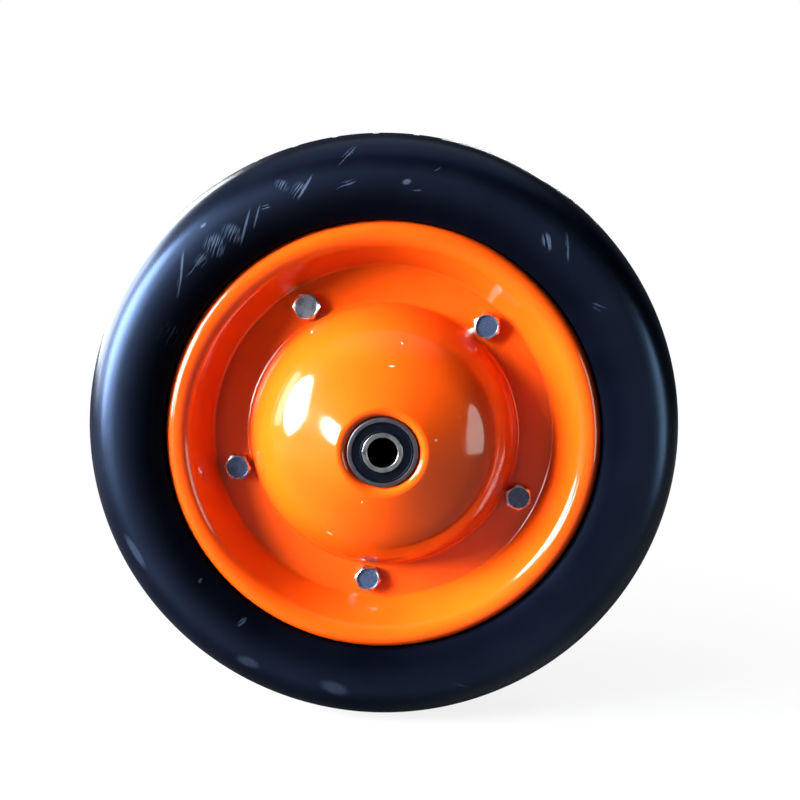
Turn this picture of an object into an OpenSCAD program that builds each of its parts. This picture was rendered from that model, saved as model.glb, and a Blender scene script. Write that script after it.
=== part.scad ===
// Wheelbarrow wheel: a solid rubber tyre held between two pressed steel rim halves,
// with a sealed ball bearing in the hub of each half and a spacer tube between them.
// The wheel turns about the Y axis, its centre is the origin, and its bolt heads face -Y.

/* [Tyre] */
// Height of the tyre outside the rim's lip
tyre_section = 49; // [41:0.5:59]
// Width of the tyre
tyre_w = 70; // [58:0.5:84]
// Radius of the crown, seen across the tread
crown_r = 60; // [50:1:90]
// Radius of the shoulder between the crown and the sidewall
shoulder_r = 20; // [16:0.5:24]
// Depth of the grooves that run round the tread
groove_depth = 3.5; // [2:0.1:5]
// Width of the grooves that run round the tread
groove_w = 3; // [2:0.1:4]
// Distance from one round groove to the next
groove_pitch = 11; // [9:0.5:13]
// Number of cross slots in each of the two middle ribs
slot_count = 48; // [24:1:60]
// Width of a cross slot
slot_w = 3; // [2:0.1:4]
// Depth of a cross slot
slot_depth = 2.6; // [1.5:0.1:4]
// Skew of a cross slot from the wheel's axis
slot_skew = 22; // [0:1:30]

/* [Rim] */
// Diameter over the rolled lips
rim_d = 252; // [225:1:302]
// Height of a lip's crest above the wheel's middle plane
rim_depth = 26.3; // [22:0.1:31]
// Thickness of the pressed sheet
sheet_t = 1.6; // [1.2:0.1:2]
// Radius of the lip's roll, at the middle of the sheet
lip_roll = 6.8; // [5.5:0.1:8]
// Slope of the sheet where the lip's roll starts
lip_lead = 45; // [35:1:55]
// Turn of the lip's roll past square, back towards the tyre
lip_tuck = 30; // [0:1:45]
// Bend radius where the wall turns into the lip
lip_bend = 2; // [1.5:0.1:4]
// Slope of the wall between the flat ring and the lip
wall_slope = 66; // [60:1:75]
// Bend radius at the foot of the wall
wall_bend = 3; // [2:0.1:5]
// Width of the flat ring that the bolts clamp, from bend to bend
ring_w = 22.9; // [22:0.1:28]
// Distance from the foot of the dome to the bolt circle
bolt_from_dome = 10; // [9.8:0.1:12]

/* [Hub] */
// Width over the outer faces of the two bearings
hub_w = 92; // [76:1:111]
// Slope of the dome's side at its foot
dome_side = 72; // [60:1:78]
// Slope of the cone round the bearing
cone_slope = 22; // [15:1:28]
// Radius that blends the dome's side into the cone
dome_round = 52; // [20:1:60]
// Bend radius at the foot of the dome
dome_bend = 3.5; // [2.5:0.1:5]
// Bend radius of the mouth that the bearing is pressed into
mouth_bend = 2.4; // [2:0.1:3.5]
// Height of the mouth's crest above the bearing's face
mouth_rise = 1; // [0.5:0.1:2]
// Bend radius between the bearing's cup and its stop
stop_bend = 1.4; // [1.2:0.1:1.5]
// Width of the stop that the bearing's outer ring rests on
stop_w = 2.5; // [1.5:0.1:2.5]

/* [Bearing] */
// Bore of the inner ring
bearing_bore = 17; // [15:0.5:18]
// Outside diameter of the outer ring
bearing_od = 40; // [38:0.5:48]
// Width of both rings
bearing_w = 12; // [10:0.5:14.5]
// Diameter of a ball
ball_d = 6.747; // [6:0.001:7]
// Number of balls
ball_count = 8; // [6:1:8]
// Height of the inner ring's shoulder below the pitch circle
inner_shoulder = 2; // [1.6:0.1:2.3]
// Height of the outer ring's shoulder above the pitch circle
outer_shoulder = 1.8; // [1.6:0.1:2.5]
// Chamfer on the rings' edges
ring_chamfer = 0.8; // [0.5:0.1:1]
// Thickness of a seal
seal_t = 1.2; // [0.8:0.1:1.4]
// Thickness of the cage's sheet
cage_t = 0.6; // [0.4:0.1:0.8]

/* [Bolts] */
// Number of bolts
bolt_count = 5; // [3:1:8]
// Angle of the first bolt, seen from the front
bolt_start = 47.8; // [0:0.1:72]
// Diameter of the bolts
bolt_d = 8; // [6:0.1:9.6]
// Length of a bolt under its head
bolt_l = 16; // [14:0.5:20]
// Width of the hexagons across their flats
hex_af = 13; // [12:0.1:15]
// Height of a bolt's head
head_h = 5.3; // [4:0.1:6.5]
// Depth of the dish in a bolt's head
head_dish = 0.8; // [0.4:0.1:1.2]
// Height of a nut
nut_h = 6.8; // [5:0.1:7.5]
// Width of the section of a spring washer
washer_section = 2.9; // [2.2:0.1:3]
// Thickness of a spring washer
washer_t = 2; // [1.5:0.1:2.5]
// Gap at the split of a spring washer
washer_split = 1.4; // [0.8:0.1:2]

/* [Clearances] */
// Gap between the tyre and the sheet that it is clamped between
tyre_gap = 0.2; // [0.1:0.1:0.5]
// Gap between the tyre's edge and the rolled lip
lip_gap = 1.2; // [0.8:0.1:2]
// Gap between a bolt and the sides of its hole
bolt_gap = 0.3; // [0.2:0.1:0.5]
// Gap between a nut's bore and the bolt
thread_gap = 0.05; // [0.02:0.01:0.1]
// Gap between a ball and each raceway
ball_gap = 0.03; // [0.02:0.01:0.05]
// Gap between a ball and its cage
pocket_gap = 0.1; // [0.05:0.01:0.15]
// Gap between a seal's lip and the inner ring
seal_gap = 0.05; // [0.02:0.01:0.1]
// Gap between the spacer's bore and the axle
spacer_gap = 0.25; // [0.1:0.05:0.5]

/* [Hidden] */
$fn = 144;

rim_r = rim_d / 2;
tyre_r = rim_r + tyre_section;
half_t = sheet_t / 2;

// Turn of each bolt's hexagon, as tightened, starting with the first bolt
head_turns = [32, 0, -4, -8, 34];
nut_turn = 17;
washer_turn = 83;
dish_foot_r = hex_af * 0.41;
dish_rim_r = hex_af * 0.455;
nut_bore_r = bolt_d / 2 + thread_gap;
nut_sink = 0.5;

// Lip: the centre of its roll, and the point where the roll starts
lip_lead_in = 1.5;
lip_c = [rim_r - half_t - lip_roll, rim_depth - half_t - lip_roll];
lip_start = lip_c + lip_roll * [-sin(lip_lead), cos(lip_lead)];
wall_top = lip_start - lip_lead_in * [cos(lip_lead), sin(lip_lead)];
wall_foot = [wall_top[0] - (wall_top[1] - half_t) / tan(wall_slope), half_t];

// Hub: the dome's foot follows the flat ring, and the mouth follows the bearing
dome_foot = [wall_foot[0] - ring_w, half_t];
bolt_circle_r = dome_foot[0] + bolt_from_dome;
bearing_mid = hub_w / 2 - bearing_w / 2;
cup_r = bearing_od / 2;
cup_c = cup_r + half_t;
stop_h = hub_w / 2 - bearing_w - half_t;
mouth_c = [cup_c + mouth_bend, hub_w / 2 + mouth_rise - half_t - mouth_bend];
cone_start = mouth_c + mouth_bend * [sin(cone_slope), cos(cone_slope)];
mouth_top = [cup_c, cone_start[1] + (cone_start[0] - cup_c) * tan(cone_slope)];
shoulder_x = (dome_foot[0] * tan(dome_side) + half_t - cone_start[1] - cone_start[0] * tan(cone_slope))
    / (tan(dome_side) - tan(cone_slope));
dome_shoulder = [shoulder_x, cone_start[1] - (shoulder_x - cone_start[0]) * tan(cone_slope)];
side_l = norm(dome_shoulder - dome_foot) - dome_bend * tan(dome_side / 2);
cone_l = norm(dome_shoulder - cone_start);
round_fit = min(dome_round, 0.98 * min(side_l, cone_l) / tan((dome_side - cone_slope) / 2));

// Bearing: radii worked out from the pitch circle of the balls
ball_r = ball_d / 2;
pitch_r = (bearing_bore + bearing_od) / 4;
inner_od_r = pitch_r - inner_shoulder;
outer_id_r = pitch_r + outer_shoulder;
race_ratio = 1.035;
race_r = ball_r * race_ratio;
race_shift = ball_r + ball_gap - race_r;
seal_recess = 0.3;
seal_step = seal_recess + seal_t;
seal_in_r = inner_od_r - 0.9;
seal_out_r = outer_id_r + 0.6;
seal_bead = 0.35;
spacer_in_r = bearing_bore / 2 + spacer_gap;
spacer_out_r = seal_in_r - 0.6;
spacer_chamfer = 0.3;
pocket_r = ball_r + pocket_gap;
cage_side_gap = 0.85;
cage_in_r = inner_od_r + cage_side_gap;
cage_out_r = outer_id_r - cage_side_gap;
cage_h = min(pocket_r + cage_t, bearing_w / 2 - seal_step - 0.2);
rivet_r = 0.45;
rivet_head_r = 0.8;
rivet_head_h = 0.35;

// Tyre: heights above the middle plane and radii from the axle
tyre_base_r = wall_foot[0] + 3.6;
tyre_edge_r = rim_r + lip_gap;
tyre_edge_h = rim_depth - 1.8;
tyre_edge_round = 1.2;
ledge_h = lip_c[1] - (lip_roll + half_t) * sin(lip_tuck) - 0.5;
shoulder_c = [
    tyre_r - crown_r + sqrt(pow(crown_r - shoulder_r, 2) - pow(tyre_w / 2 - shoulder_r, 2)),
    tyre_w / 2 - shoulder_r
];
shoulder_start = asin(shoulder_c[1] / (crown_r - shoulder_r));
side_run = shoulder_c[0] - tyre_edge_r;
side_rise = tyre_w / 2 - tyre_edge_h;
side_r = (side_run * side_run + side_rise * side_rise) / (2 * side_rise);

tyre_colour = "#20242b";
paint_colour = "#ee7a1c";
zinc_colour = "#b9c0ca";
steel_colour = "#9a9ea4";
seal_colour = "#14181f";

// Left-hand normal of a direction given as an angle
function left(a) = [-sin(a), cos(a)];
// Angle of the line from p to q
function heading(p, q) = atan2(q[1] - p[1], q[0] - p[0]);
// Angle of one step round a bend of radius r, so that the steps lie within bend_sag of the true arc
function bend_step(r) = min(12, 2 * acos(1 - bend_sag / r));
// Points with headings round the bend of radius r at corner q, between p and s
function bend(p, q, s, r) = let(
    a = heading(p, q),
    turn = (heading(q, s) - a + 540) % 360 - 180,
    side = turn > 0 ? 1 : -1,
    start = q - r * tan(abs(turn) / 2) * [cos(a), sin(a)],
    c = start + r * side * left(a),
    n = ceil(abs(turn) / bend_step(r))
) [for (i = [0:n]) let(b = a + turn * i / n) [each c - r * side * left(b), b]];
// Points round a centre, from one angle to another
function arc(c, r, a, b, step = 8) = let(n = ceil(abs(b - a) / step))
    [for (i = [0:n]) c + r * [cos(a + (b - a) * i / n), sin(a + (b - a) * i / n)]];
// The path shifted sideways by d, to the left of its run
function shifted(path, d) = [for (p = path) [p[0], p[1]] + d * left(p[2])];
function reversed(list) = [for (i = [len(list) - 1:-1:0]) list[i]];

// Middle of the sheet, from the bearing's stop out to the rolled lip: radius, height, heading
bend_sag = 0.02;
lip_turns = ceil((lip_lead + 90 + lip_tuck) / bend_step(lip_roll));
sheet_path = concat(
    [[cup_r - stop_w, stop_h, 0]],
    bend([cup_r - stop_w, stop_h], [cup_c, stop_h], mouth_top, stop_bend),
    bend([cup_c, stop_h], mouth_top, dome_shoulder, mouth_bend),
    bend(mouth_top, dome_shoulder, dome_foot, round_fit),
    bend(dome_shoulder, dome_foot, wall_foot, dome_bend),
    bend(dome_foot, wall_foot, wall_top, wall_bend),
    bend(wall_foot, wall_top, lip_start, lip_bend),
    [for (i = [0:lip_turns]) let(b = lip_lead - (lip_lead + 90 + lip_tuck) * i / lip_turns)
        [each lip_c + lip_roll * left(b), b]]
);

// Radius of the tyre where it lies against the wall of the sheet, at a height
function wall_back(h) = wall_foot[0] + (h - half_t) / tan(wall_slope)
    + (half_t + tyre_gap) / sin(wall_slope);
// Height at which the tyre's base meets the wall
base_h = half_t + (tyre_base_r - wall_foot[0]) * tan(wall_slope)
    - (half_t + tyre_gap) / cos(wall_slope);

// Half of the tyre's outline, from its base to the middle of the crown
tyre_half = concat(
    [[tyre_base_r, base_h], [wall_back(ledge_h), ledge_h], [tyre_edge_r, ledge_h]],
    arc([tyre_edge_r + tyre_edge_round, tyre_edge_h - tyre_edge_round], tyre_edge_round, 180, 135, 15),
    reversed(arc([shoulder_c[0], tyre_w / 2 - side_r], side_r, 90,
        90 + asin((side_run - tyre_edge_round) / side_r), 6)),
    reversed(arc(shoulder_c, shoulder_r, shoulder_start, 84)),
    reversed(arc([tyre_r - crown_r, 0], crown_r, 0, shoulder_start - 3, 3))
);

// Turns what is drawn about Z so that it lies about the axle, its top facing the front
module on_axle() {
    rotate([90, 0, 0]) children();
}
// Puts a piece of the front bearing in place, or mirrors it into the back one
module in_hub(front) {
    on_axle() mirror([0, 0, front ? 0 : 1]) translate([0, 0, bearing_mid]) children();
}
module at_bolts() {
    for (i = [0:bolt_count - 1]) let(a = bolt_start + i * 360 / bolt_count, $bolt = i)
        translate(bolt_circle_r * [cos(a), sin(a), 0]) children();
}
// A hexagon prism whose corners are turned off at the top, and at the bottom if asked
module hexagon(h, both) {
    corner_r = hex_af / sqrt(3);
    chamfer = (corner_r - hex_af / 2 + 0.1) * tan(30);
    intersection() {
        cylinder(h = h, r = corner_r, $fn = 6);
        rotate_extrude() polygon([
            [0, 0],
            [hex_af / 2 - 0.1, 0],
            [corner_r, both ? chamfer : 0],
            [corner_r, h - chamfer],
            [hex_af / 2 - 0.1, h],
            [0, h]
        ]);
    }
}

module tyre() {
    color(tyre_colour) on_axle() difference() {
        rotate_extrude() difference() {
            polygon(concat(tyre_half, [for (p = reversed(tyre_half)) if (p[1] > 0.01) [p[0], -p[1]]]));
            for (k = [-1:1]) translate([tyre_r, k * groove_pitch])
                square([2 * (groove_depth + crown_drop(k)), groove_w], center = true);
        }
        for (side = [-1, 1], i = [0:slot_count - 1])
            rotate([0, 0, (i + side / 4) * 360 / slot_count])
                translate([tyre_r - crown_drop(0.5), 0, side * groove_pitch / 2])
                    rotate([side * slot_skew, 0, 0])
                        cube([2 * slot_depth, slot_w, groove_pitch], center = true);
    }
}
// Drop of the crown at k groove pitches from the middle
function crown_drop(k) = crown_r - sqrt(pow(crown_r, 2) - pow(k * groove_pitch, 2));

// One pressed half: stop, cup, mouth, cone, dome, flat ring, wall and rolled lip in one sheet
module rim_half() {
    difference() {
        rotate_extrude() polygon(concat(shifted(sheet_path, half_t), reversed(shifted(sheet_path, -half_t))));
        at_bolts() translate([0, 0, -1]) cylinder(h = sheet_t + 2, r = bolt_d / 2 + bolt_gap, $fn = 36);
    }
}
module rim_front() {
    color(paint_colour) on_axle() rim_half();
}
module rim_back() {
    color(paint_colour) on_axle() mirror([0, 0, 1]) rim_half();
}

module bolts() {
    color(zinc_colour) on_axle() at_bolts() translate([0, 0, sheet_t]) {
        difference() {
            rotate([0, 0, head_turns[$bolt % len(head_turns)]]) hexagon(head_h, false);
            translate([0, 0, head_h]) rotate_extrude() polygon([
                [0, -head_dish], [dish_foot_r, -head_dish], [dish_rim_r, 0], [dish_rim_r, 1], [0, 1]
            ]);
        }
        rotate_extrude($fn = 36) polygon([
            [0, 1], [bolt_d / 2, 1], [bolt_d / 2, 1 - bolt_l], [bolt_d / 2 - 1, -bolt_l], [0, -bolt_l]
        ]);
    }
}
module nuts() {
    color(zinc_colour) on_axle() at_bolts()
        translate([0, 0, -sheet_t - washer_t - nut_h]) difference() {
            rotate([0, 0, nut_turn * $bolt]) hexagon(nut_h, true);
            rotate_extrude($fn = 36) polygon([
                [0, -1],
                [nut_bore_r + nut_sink + 1, -1],
                [nut_bore_r, nut_sink],
                [nut_bore_r, nut_h - nut_sink],
                [nut_bore_r + nut_sink + 1, nut_h + 1],
                [0, nut_h + 1]
            ]);
        }
}
// Spring washers, flattened under the nuts, each with its slanting split
module lock_washers() {
    color(zinc_colour) on_axle() at_bolts()
        translate([0, 0, -sheet_t - washer_t]) difference() {
            cylinder(h = washer_t, r = nut_bore_r + washer_section, $fn = 48);
            translate([0, 0, -1]) cylinder(h = washer_t + 2, r = nut_bore_r, $fn = 48);
            rotate([0, 0, 200 - washer_turn * $bolt]) translate([0, -washer_split / 2, -washer_t]) rotate([25, 0, 0])
                cube([bolt_d + washer_section, washer_split, 4 * washer_t]);
        }
}

// Tube that keeps the inner rings apart when the axle's nuts are tightened
module axle_spacer() {
    spacer_l = hub_w - 2 * bearing_w;
    color(steel_colour) on_axle() rotate_extrude() polygon([
        [spacer_in_r, -spacer_l / 2 + spacer_chamfer],
        [spacer_in_r + spacer_chamfer, -spacer_l / 2],
        [spacer_out_r - spacer_chamfer, -spacer_l / 2],
        [spacer_out_r, -spacer_l / 2 + spacer_chamfer],
        [spacer_out_r, spacer_l / 2 - spacer_chamfer],
        [spacer_out_r - spacer_chamfer, spacer_l / 2],
        [spacer_in_r + spacer_chamfer, spacer_l / 2],
        [spacer_in_r, spacer_l / 2 - spacer_chamfer]
    ]);
}

module inner_ring() {
    w = bearing_w / 2;
    rotate_extrude() difference() {
        polygon([
            [bearing_bore / 2 + ring_chamfer / 2, -w],
            [seal_in_r, -w],
            [seal_in_r, -w + seal_step + 0.2],
            [inner_od_r, -w + seal_step + 0.5],
            [inner_od_r, w - seal_step - 0.5],
            [seal_in_r, w - seal_step - 0.2],
            [seal_in_r, w],
            [bearing_bore / 2 + ring_chamfer / 2, w],
            [bearing_bore / 2, w - ring_chamfer / 2],
            [bearing_bore / 2, -w + ring_chamfer / 2]
        ]);
        translate([pitch_r - race_shift, 0]) circle(r = race_r);
    }
}
module inner_ring_front() {
    color(steel_colour) in_hub(true) inner_ring();
}
module inner_ring_back() {
    color(steel_colour) in_hub(false) inner_ring();
}

// Half of the outer ring's outline: chamfered edge, seal groove and shoulder
module outer_ring() {
    w = bearing_w / 2;
    c = ring_chamfer;
    half = [
        [cup_r, w - c],
        [cup_r - c, w],
        [seal_out_r, w],
        [seal_out_r, w - seal_recess - seal_bead],
        [seal_out_r + seal_bead, w - seal_recess - 2 * seal_bead],
        [seal_out_r + seal_bead, w - seal_step],
        [outer_id_r, w - seal_step]
    ];
    rotate_extrude() difference() {
        polygon(concat(half, [for (p = reversed(half)) [p[0], -p[1]]]));
        translate([pitch_r + race_shift, 0]) circle(r = race_r);
    }
}
module outer_ring_front() {
    color(steel_colour) in_hub(true) outer_ring();
}
module outer_ring_back() {
    color(steel_colour) in_hub(false) outer_ring();
}

module ball_places() {
    for (i = [0:ball_count - 1])
        rotate([0, 0, i * 360 / ball_count]) translate([pitch_r, 0, 0]) children();
}
module balls() {
    ball_places() sphere(r = ball_r, $fn = 48);
}
module balls_front() {
    color(steel_colour) in_hub(true) balls();
}
module balls_back() {
    color(steel_colour) in_hub(false) balls();
}

module cage_band(h) {
    difference() {
        cylinder(h = h, r = cage_out_r);
        translate([0, 0, -1]) cylinder(h = h + 2, r = cage_in_r);
    }
}
module rivet_places() {
    for (i = [0:ball_count - 1])
        rotate([0, 0, (i + 0.5) * 360 / ball_count]) translate([pitch_r, 0, 0]) children();
}
// One pressed half of the cage: flat bridges with a rounded pocket over each ball
module cage_half() {
    difference() {
        intersection() {
            cage_band(cage_h);
            union() {
                cylinder(h = cage_t, r = cage_out_r + 1);
                ball_places() sphere(r = pocket_r + cage_t, $fn = 48);
            }
        }
        ball_places() sphere(r = pocket_r, $fn = 48);
        rivet_places() translate([0, 0, -1]) cylinder(h = cage_t + 2, r = rivet_r, $fn = 24);
    }
}
module cage_outer_half_front() {
    color(steel_colour) in_hub(true) cage_half();
}
module cage_inner_half_front() {
    color(steel_colour) in_hub(true) mirror([0, 0, 1]) cage_half();
}
module cage_outer_half_back() {
    color(steel_colour) in_hub(false) cage_half();
}
module cage_inner_half_back() {
    color(steel_colour) in_hub(false) mirror([0, 0, 1]) cage_half();
}
module cage_rivets() {
    rivet_places() {
        cylinder(h = 2 * cage_t, r = rivet_r, center = true, $fn = 24);
        for (s = [0, 1]) mirror([0, 0, s]) translate([0, 0, cage_t])
            cylinder(h = rivet_head_h, r = rivet_head_r, $fn = 24);
    }
}
module cage_rivets_front() {
    color(steel_colour) in_hub(true) cage_rivets();
}
module cage_rivets_back() {
    color(steel_colour) in_hub(false) cage_rivets();
}

// A moulded seal: it snaps into the outer ring's groove, and its lip runs on the inner ring
module seal() {
    top = bearing_w / 2 - seal_recess;
    lip_r = seal_in_r + seal_gap;
    rotate_extrude() polygon([
        [lip_r, top - seal_t * 0.75],
        [lip_r + 0.5, top - seal_t],
        [seal_out_r - 1.2, top - seal_t],
        [seal_out_r + seal_bead, top - seal_t],
        [seal_out_r + seal_bead, top - 2 * seal_bead],
        [seal_out_r, top - seal_bead],
        [seal_out_r - 0.9, top],
        [seal_out_r - 1.3, top - 0.25],
        [lip_r + 0.9, top - 0.25],
        [lip_r + 0.5, top],
        [lip_r, top - 0.3]
    ]);
}
module outer_seal_front() {
    color(seal_colour) in_hub(true) seal();
}
module inner_seal_front() {
    color(seal_colour) in_hub(true) mirror([0, 0, 1]) seal();
}
module outer_seal_back() {
    color(seal_colour) in_hub(false) seal();
}
module inner_seal_back() {
    color(seal_colour) in_hub(false) mirror([0, 0, 1]) seal();
}

tyre();
rim_front();
rim_back();
bolts();
nuts();
lock_washers();
axle_spacer();
inner_ring_front();
inner_ring_back();
outer_ring_front();
outer_ring_back();
balls_front();
balls_back();
cage_outer_half_front();
cage_inner_half_front();
cage_outer_half_back();
cage_inner_half_back();
cage_rivets_front();
cage_rivets_back();
outer_seal_front();
inner_seal_front();
outer_seal_back();
inner_seal_back();
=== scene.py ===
from math import atan2, cos, pi, radians, sin, tan

import bmesh
import bpy
from mathutils import Matrix, Vector


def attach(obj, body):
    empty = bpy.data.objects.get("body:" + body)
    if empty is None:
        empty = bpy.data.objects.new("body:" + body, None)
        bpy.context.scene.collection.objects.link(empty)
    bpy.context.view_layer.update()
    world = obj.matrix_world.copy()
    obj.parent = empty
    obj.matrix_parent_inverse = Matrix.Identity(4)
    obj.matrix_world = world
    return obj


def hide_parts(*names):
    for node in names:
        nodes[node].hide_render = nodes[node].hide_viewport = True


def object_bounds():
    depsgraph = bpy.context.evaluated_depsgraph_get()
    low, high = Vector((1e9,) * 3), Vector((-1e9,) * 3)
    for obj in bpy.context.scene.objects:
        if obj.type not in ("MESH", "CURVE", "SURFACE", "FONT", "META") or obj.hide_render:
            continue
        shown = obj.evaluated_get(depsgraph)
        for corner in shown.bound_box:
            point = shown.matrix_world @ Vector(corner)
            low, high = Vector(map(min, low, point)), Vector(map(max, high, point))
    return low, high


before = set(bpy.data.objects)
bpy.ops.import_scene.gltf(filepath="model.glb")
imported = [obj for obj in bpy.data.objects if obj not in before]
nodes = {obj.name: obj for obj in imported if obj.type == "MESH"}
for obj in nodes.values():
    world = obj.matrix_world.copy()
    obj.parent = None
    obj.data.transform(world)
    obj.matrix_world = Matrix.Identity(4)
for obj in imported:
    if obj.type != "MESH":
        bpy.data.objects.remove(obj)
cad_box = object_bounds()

# Camera. The photograph was taken by hand, close to the wheel and a little above its axle, so
# its frame is shifted a few per cent against the wheel's centre.
camera_distance = 0.5473
camera_height, camera_side = radians(11.95), radians(0.6)
camera_data = bpy.data.cameras.new("camera")
camera_data.sensor_width = 36
camera_data.lens = 40.64
camera_data.shift_x = 0.0209
camera_data.shift_y = 0.0448
camera_data.clip_start = 0.01
camera = bpy.data.objects.new("camera", camera_data)
towards_camera = Vector((sin(camera_side) * cos(camera_height),
                         -cos(camera_side) * cos(camera_height), sin(camera_height)))
camera.location = towards_camera * camera_distance
camera.rotation_euler = (-towards_camera).to_track_quat("-Z", "Y").to_euler()
bpy.context.scene.collection.objects.link(camera)
bpy.context.scene.camera = camera
bpy.context.scene.view_settings.view_transform = "Standard"


# Lights. A window of two panes stands to the left of the wheel, low enough to graze its face, with
# weaker light from its frame and from beyond it, and a pale wall stands to the right. Gloss mirrors
# these, and lamps of their own give their light on matt surfaces. Weak boxes light the back.
def softbox(name, azimuth, elevation, distance, width, height, radiance, colour, seen_by,
            shape="RECTANGLE"):
    """An area lamp aimed at the wheel. Azimuth 0 is in front of the wheel and 90 to its right, and
    seen_by is the kind of surface, gloss or matt, that it lights."""
    a, e = radians(azimuth), radians(elevation)
    lamp = bpy.data.lights.new(name, "AREA")
    lamp.shape = shape
    lamp.size, lamp.size_y = width, height
    lamp.energy = radiance * pi * width * height * (pi / 4 if shape == "ELLIPSE" else 1)
    lamp.color = colour
    box = bpy.data.objects.new(name, lamp)
    out = Vector((sin(a) * cos(e), -cos(a) * cos(e), sin(e)))
    box.location = out * distance
    box.rotation_euler = out.to_track_quat("Z", "Y").to_euler()
    box.visible_camera = False
    box.visible_diffuse = seen_by != "gloss"
    box.visible_glossy = seen_by != "matt"
    bpy.context.scene.collection.objects.link(box)


daylight, wall_tint, warm_tint = (0.93, 0.97, 1.0), (0.78, 0.95, 0.88), (1.0, 0.86, 0.74)
softbox("window_light", -71, 18, 1.2, 0.66, 0.6, 104, daylight, "matt")
softbox("window_left_pane", -60, 13.5, 1.2, 0.56, 0.78, 34, daylight, "gloss", "ELLIPSE")
softbox("window_right_pane", -38.5, 2, 1.2, 0.19, 0.36, 30, daylight, "gloss", "ELLIPSE")
softbox("pale_wall", 60, -4, 0.7, 0.24, 0.44, 5.0, wall_tint, "gloss", "ELLIPSE")
softbox("window_side_pane", -122, 20, 1.2, 1.25, 0.7, 9, daylight, "gloss")
softbox("window_frame_side", -87, 16, 1.2, 0.55, 0.7, 7, daylight, "gloss")
softbox("window_right_light", -38.5, 3, 1.2, 0.3, 0.4, 5, daylight, "matt")
softbox("right_fill", 62, 4, 1.1, 0.4, 0.36, 2.5, warm_tint, "matt")
softbox("back_left", -150, 25, 1.6, 1.4, 1.4, 3.2, daylight, "matt")
softbox("back_right", 140, 35, 1.6, 1.4, 1.4, 2.4, daylight, "matt")
softbox("back_pane", 166, 12, 1.2, 0.3, 0.5, 12, daylight, "gloss")


# Room. The background is white wherever the camera sees it. For the light on the wheel the room is
# pale behind it, dim in front, where the photographer stands, and brightens softly overhead.
def add_node(tree, kind, **values):
    """A new shader node with its plain properties set."""
    made = tree.nodes.new("ShaderNode" + kind)
    for key, value in values.items():
        setattr(made, key, value)
    return made


def set_inputs(node, **values):
    """Sets a node's unlinked inputs by name, with _ for a space."""
    for key, value in values.items():
        node.inputs[key.replace("_", " ")].default_value = value
    return node


world = bpy.data.worlds.new("room")
bpy.context.scene.world = world
world.use_nodes = True
room = world.node_tree
room.nodes.clear()
room_way = add_node(room, "TexCoord")
room_axes = add_node(room, "SeparateXYZ")
room_back = set_inputs(add_node(room, "MapRange"), From_Min=0.0, From_Max=0.6)
room_walls = set_inputs(add_node(room, "Mix", data_type="RGBA"),
                        A=(0.006, 0.008, 0.012, 1), B=(0.035, 0.04, 0.05, 1))
room_top = set_inputs(add_node(room, "MapRange", interpolation_type="SMOOTHERSTEP"),
                      From_Min=0.62, From_Max=1.0)
room_colour = set_inputs(add_node(room, "Mix", data_type="RGBA"), B=(0.4, 0.44, 0.5, 1))
room_light = add_node(room, "Background")
room_seen = set_inputs(add_node(room, "Background"), Color=(1, 1, 1, 1))
room_ray = add_node(room, "LightPath")
room_mix = add_node(room, "MixShader")
room_out = add_node(room, "OutputWorld")
for start, end in ((room_way.outputs["Generated"], room_axes.inputs[0]),
                   (room_axes.outputs["Y"], room_back.inputs["Value"]),
                   (room_back.outputs["Result"], room_walls.inputs["Factor"]),
                   (room_axes.outputs["Z"], room_top.inputs["Value"]),
                   (room_walls.outputs["Result"], room_colour.inputs["A"]),
                   (room_top.outputs["Result"], room_colour.inputs["Factor"]),
                   (room_colour.outputs["Result"], room_light.inputs["Color"]),
                   (room_ray.outputs["Is Camera Ray"], room_mix.inputs["Fac"]),
                   (room_light.outputs[0], room_mix.inputs[1]),
                   (room_seen.outputs[0], room_mix.inputs[2]),
                   (room_mix.outputs[0], room_out.inputs["Surface"])):
    room.links.new(start, end)

# Floor. A plain pale sheet that the wheel stands on; it keeps the wheel's shadow. The wheel itself
# sees it as dim, and a little lighter to its right, as the photograph's reflections show it.
floor_half = 6
floor_mesh = bmesh.new()
bmesh.ops.create_grid(floor_mesh, x_segments=1, y_segments=1, size=floor_half)
bmesh.ops.translate(floor_mesh, verts=floor_mesh.verts, vec=(0, 0, cad_box[0].z))
floor_data = bpy.data.meshes.new("floor")
floor_mesh.to_mesh(floor_data)
floor_mesh.free()
floor = bpy.data.objects.new("floor", floor_data)
bpy.context.scene.collection.objects.link(floor)
floor_finish = bpy.data.materials.new("pale_floor")
floor_finish.use_nodes = True
floor_tree = floor_finish.node_tree
floor_dim = set_inputs(floor_tree.nodes["Principled BSDF"], Roughness=0.9, Specular_IOR_Level=0.1)
floor_pale = set_inputs(add_node(floor_tree, "BsdfDiffuse"), Color=(0.4, 0.4, 0.4, 1))
floor_white = add_node(floor_tree, "Emission")
floor_axes = add_node(floor_tree, "SeparateXYZ")
# painted light: as the wheel sees it, the floor's colour is lighter to the right, where light falls on it
floor_right = set_inputs(add_node(floor_tree, "MapRange", interpolation_type="SMOOTHSTEP"),
                         From_Min=-0.02, From_Max=0.12)
floor_tone = set_inputs(add_node(floor_tree, "Mix", data_type="RGBA"),
                        A=(0.02, 0.02, 0.022, 1), B=(0.10, 0.095, 0.085, 1))
floor_lit, floor_mix = (add_node(floor_tree, "MixShader") for _ in range(2))
floor_ray = add_node(floor_tree, "LightPath")
floor_place = add_node(floor_tree, "TexCoord")
floor_far = add_node(floor_tree, "VectorMath", operation="LENGTH")
floor_fade = set_inputs(add_node(floor_tree, "MapRange"), From_Min=0.1, From_Max=0.45, To_Min=0.8, To_Max=1.0)
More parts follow.
